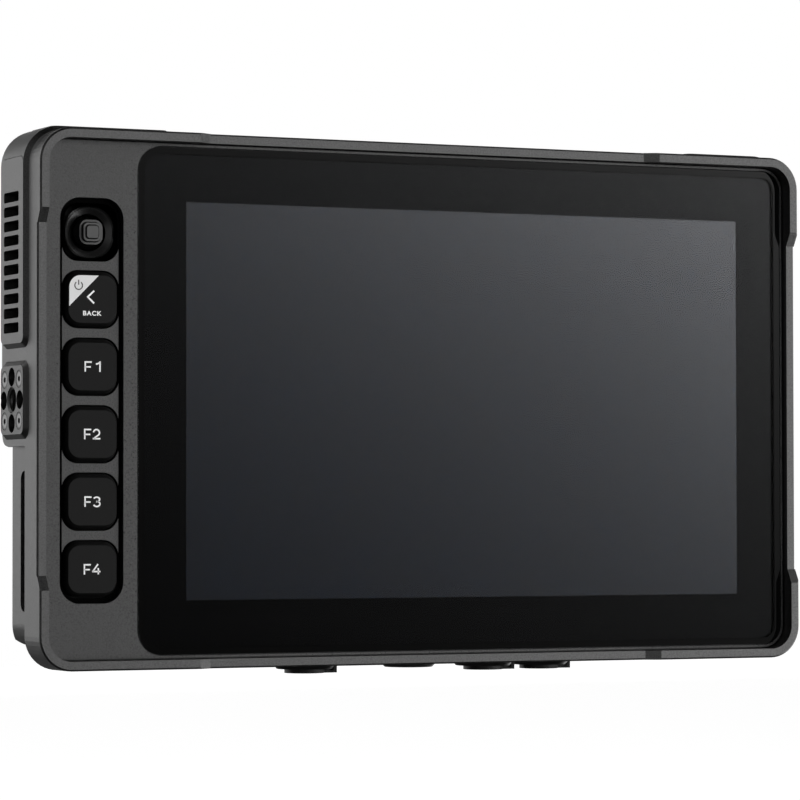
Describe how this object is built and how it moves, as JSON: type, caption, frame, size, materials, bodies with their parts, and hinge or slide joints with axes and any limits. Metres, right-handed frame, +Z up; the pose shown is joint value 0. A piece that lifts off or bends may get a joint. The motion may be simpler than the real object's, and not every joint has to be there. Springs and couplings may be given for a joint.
{
  "type": "camera field monitor",
  "caption": "On-camera field monitor: rimmed metal chassis, touch screen, column of keys with a joystick, side vents, tripod mounts and a fan-cooled back.",
  "frame": {"origin": "Where the thread of the bottom tripod mount starts, on the chassis's middle plane and on the line of all four mounts.", "axes": "+Z up, the screen faces -Y, +X to the right seen from the front."},
  "size_m": [0.2064, 0.0361, 0.1296],
  "materials": {
    "chassis": "blasted grey anodise",
    "face": "blasted dark grey anodise",
    "mount_metal": "blasted grey anodise",
    "glass": "glossy",
    "black_print": "glossy black",
    "lcd": "glossy dark",
    "white_plastic": "matte white",
    "steel": "plain sheet steel",
    "key": "satin black with white print",
    "stick": "satin grey",
    "black_plastic": "matte black",
    "board": "green solder mask",
    "screw": "black oxide",
    "aluminium": "extruded",
    "brass": "plain",
    "seal": "matte black",
    "socket": "black anodise"
  },
  "bodies": {
    "monitor": {"chassis_frame": "chassis", "face_panel": "face", "cover_glass": "glass", "glass_adhesive": "black_print", "lcd_panel": "lcd", "backlight": "white_plastic", "display_tray": "steel", "key_frame": "face", "key_switches": "black_plastic", "key_board": "board", "joystick_dish": "black_plastic", "joystick_housing": "black_plastic", "main_board": "board", "board_screws": "screw", "heat_sink": "aluminium", "fan_frame": "black_plastic", "fan_screws": "screw", "fan_grille": "mount_metal", "rear_seal": "seal", "rear_cover": "chassis", "rear_cover_screws": "screw", "rear_inserts": "brass", "left_mount": "mount_metal", "right_mount": "mount_metal", "top_mount": "mount_metal", "bottom_mount": "mount_metal", "mount_screws": "screw", "card_socket": "steel", "power_socket": "socket", "video_in_socket": "socket", "video_out_socket": "socket", "socket_contacts": "brass", "hdmi_in_socket": "steel", "hdmi_out_socket": "steel"},
    "back_key_body": {"back_key": "key"},
    "f1_key_body": {"f1_key": "key"},
    "f2_key_body": {"f2_key": "key"},
    "f3_key_body": {"f3_key": "key"},
    "f4_key_body": {"f4_key": "key"},
    "gimbal": {"joystick_gimbal": "steel"},
    "stick": {"joystick_stem": "steel"},
    "stick_cap": {"joystick_cap": "stick"},
    "rotor": {"fan_rotor": "black_plastic"}
  },
  "joints": [
    {"name": "back_key_press", "type": "slide", "parent": "monitor", "child": "back_key_body", "axis": [0, 1, 0], "range_m": [0, 0.0008], "stiffness_N_per_m": 400},
    {"name": "f1_key_press", "type": "slide", "parent": "monitor", "child": "f1_key_body", "axis": [0, 1, 0], "range_m": [0, 0.0008], "stiffness_N_per_m": 400},
    {"name": "f2_key_press", "type": "slide", "parent": "monitor", "child": "f2_key_body", "axis": [0, 1, 0], "range_m": [0, 0.0008], "stiffness_N_per_m": 400},
    {"name": "f3_key_press", "type": "slide", "parent": "monitor", "child": "f3_key_body", "axis": [0, 1, 0], "range_m": [0, 0.0008], "stiffness_N_per_m": 400},
    {"name": "f4_key_press", "type": "slide", "parent": "monitor", "child": "f4_key_body", "axis": [0, 1, 0], "range_m": [0, 0.0008], "stiffness_N_per_m": 400},
    {"name": "joystick_left_right", "type": "hinge", "parent": "monitor", "child": "gimbal", "pos_m": [-0.08795, -0.007, 0.1031], "axis": [0, 0, 1], "range_deg": [-8, 8], "stiffness_Nm_per_rad": 0.02},
    {"name": "joystick_up_down", "type": "hinge", "parent": "gimbal", "child": "stick", "pos_m": [-0.08795, -0.007, 0.1031], "axis": [1, 0, 0], "range_deg": [-8, 8], "stiffness_Nm_per_rad": 0.02},
    {"name": "joystick_press", "type": "slide", "parent": "stick", "child": "stick_cap", "axis": [0, 1, 0], "range_m": [0, 0.0004], "stiffness_N_per_m": 400},
    {"name": "fan_spin", "type": "hinge", "parent": "monitor", "child": "rotor", "pos_m": [0, 0.0107, 0.0899], "axis": [0, 1, 0], "continuous": true}
  ]
}
